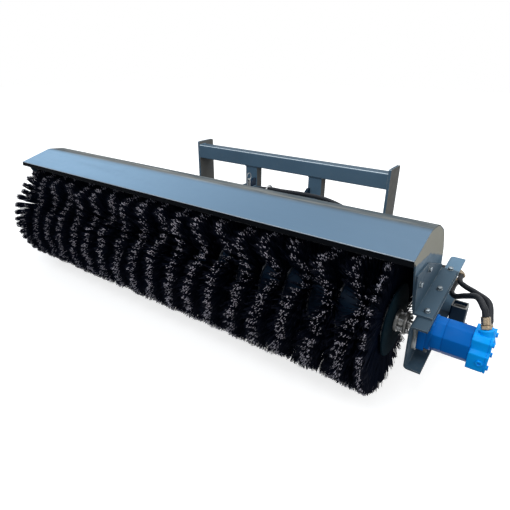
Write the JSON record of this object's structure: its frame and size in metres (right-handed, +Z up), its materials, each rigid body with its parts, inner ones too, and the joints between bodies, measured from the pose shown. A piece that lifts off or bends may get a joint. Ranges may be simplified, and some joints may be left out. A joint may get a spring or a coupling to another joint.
{
  "type": "skid steer sweeper broom",
  "caption": "Angle sweeper for a loader: a wide cylinder brush under a bent sheet hood, turned by a hydraulic motor, on a frame that swings on a pivot behind a hitch frame.",
  "frame": {"origin": "middle of the underside of the hitch frame's lower rail, on the ground", "axes": "+X along the brush towards the motor, +Y from the brush towards the loader, +Z up"},
  "size_m": [2.1992, 1.102, 0.5469],
  "materials": {
    "frame_paint": "slate enamel, semi-gloss",
    "dark_paint": "dark enamel",
    "motor_paint": "blue enamel",
    "bright_steel": "zinc plated or machined steel",
    "bronze": "machined bearing bronze",
    "hose_rubber": "matt hose cover",
    "bristle_nylon": "crimped plastic bristle"
  },
  "bodies": {
    "hitch": {"hitch_end_plate_left": "frame_paint", "hitch_end_plate_right": "frame_paint", "hitch_ledge_left": "frame_paint", "hitch_ledge_right": "frame_paint", "hitch_lower_rail": "frame_paint", "hitch_post_left": "frame_paint", "hitch_post_right": "frame_paint", "hitch_top_bar": "frame_paint", "lug_gusset_left": "dark_paint", "lug_gusset_right": "dark_paint", "pivot_lug_lower": "frame_paint", "pivot_lug_upper": "frame_paint", "pivot_pin": "bright_steel"},
    "lock": {"lock_pin": "bright_steel", "lock_pin_ring": "bright_steel"},
    "brush": {"brush_core": "bristle_nylon", "brush_disc_left": "dark_paint", "brush_disc_right": "dark_paint", "coupling_brush_half": "bright_steel", "coupling_motor_half": "bright_steel", "motor_shaft": "bright_steel", "stub_shaft_left": "bright_steel"},
    "leg_left": {"stand_leg_left": "bright_steel"},
    "leg_right": {"stand_leg_right": "bright_steel"},
    "clamp_left": {"stand_screw_left": "bright_steel"},
    "clamp_right": {"stand_screw_right": "bright_steel"},
    "broom": {"arm_left": "frame_paint", "arm_right": "frame_paint", "bearing_housing_left": "dark_paint", "bracket_bolt_side_1": "bright_steel", "bracket_bolt_side_2": "bright_steel", "bracket_bolt_top_1": "bright_steel", "bracket_bolt_top_2": "bright_steel", "bracket_bolt_top_3": "bright_steel", "cross_tube": "frame_paint", "elbow_rear": "bright_steel", "elbow_top": "bright_steel", "hood_bracket_left": "frame_paint", "hood_bracket_right": "frame_paint", "hood_shell": "frame_paint", "hood_side_left": "frame_paint", "hood_side_right": "frame_paint", "hose_guide": "bright_steel", "lock_plate": "frame_paint", "motor_body": "motor_paint", "motor_end_cap": "motor_paint", "motor_fitting_rear": "bright_steel", "motor_fitting_top": "bright_steel", "motor_hose_rear": "hose_rubber", "motor_hose_top": "hose_rubber", "motor_mount_plate": "bright_steel", "pivot_bush_lower": "bronze", "pivot_bush_upper": "bronze", "pivot_tongue": "frame_paint", "quick_coupler_rear": "bright_steel", "quick_coupler_top": "bright_steel", "stand_receiver_left": "dark_paint", "stand_receiver_right": "dark_paint", "supply_hose_rear": "hose_rubber", "supply_hose_top": "hose_rubber"}
  },
  "joints": [
    {"name": "frame_swing", "type": "hinge", "parent": "hitch", "child": "broom", "pos_m": [0, -0.175, 0.265], "axis": [0, 0, 1], "range_deg": [-30, 30]},
    {"name": "brush_spin", "type": "hinge", "parent": "broom", "child": "brush", "pos_m": [0, -0.76, 0.2502], "axis": [1, 0, 0], "continuous": true},
    {"name": "lock_pin_slide", "type": "slide", "parent": "hitch", "child": "lock", "axis": [0, 0, 1], "range_m": [-0.034, 0]},
    {"name": "stand_slide_left", "type": "slide", "parent": "broom", "child": "leg_left", "axis": [0, 0, 1], "range_m": [-0.08, 0.025]},
    {"name": "stand_slide_right", "type": "slide", "parent": "broom", "child": "leg_right", "axis": [0, 0, 1], "range_m": [-0.08, 0.025]},
    {"name": "stand_clamp_left", "type": "hinge", "parent": "broom", "child": "clamp_left", "pos_m": [-1.0153, -0.492, 0.1152], "axis": [0, 1, 0], "range_deg": [-180, 0]},
    {"name": "stand_clamp_right", "type": "hinge", "parent": "broom", "child": "clamp_right", "pos_m": [1.0153, -0.492, 0.1152], "axis": [0, 1, 0], "range_deg": [-180, 0]}
  ]
}
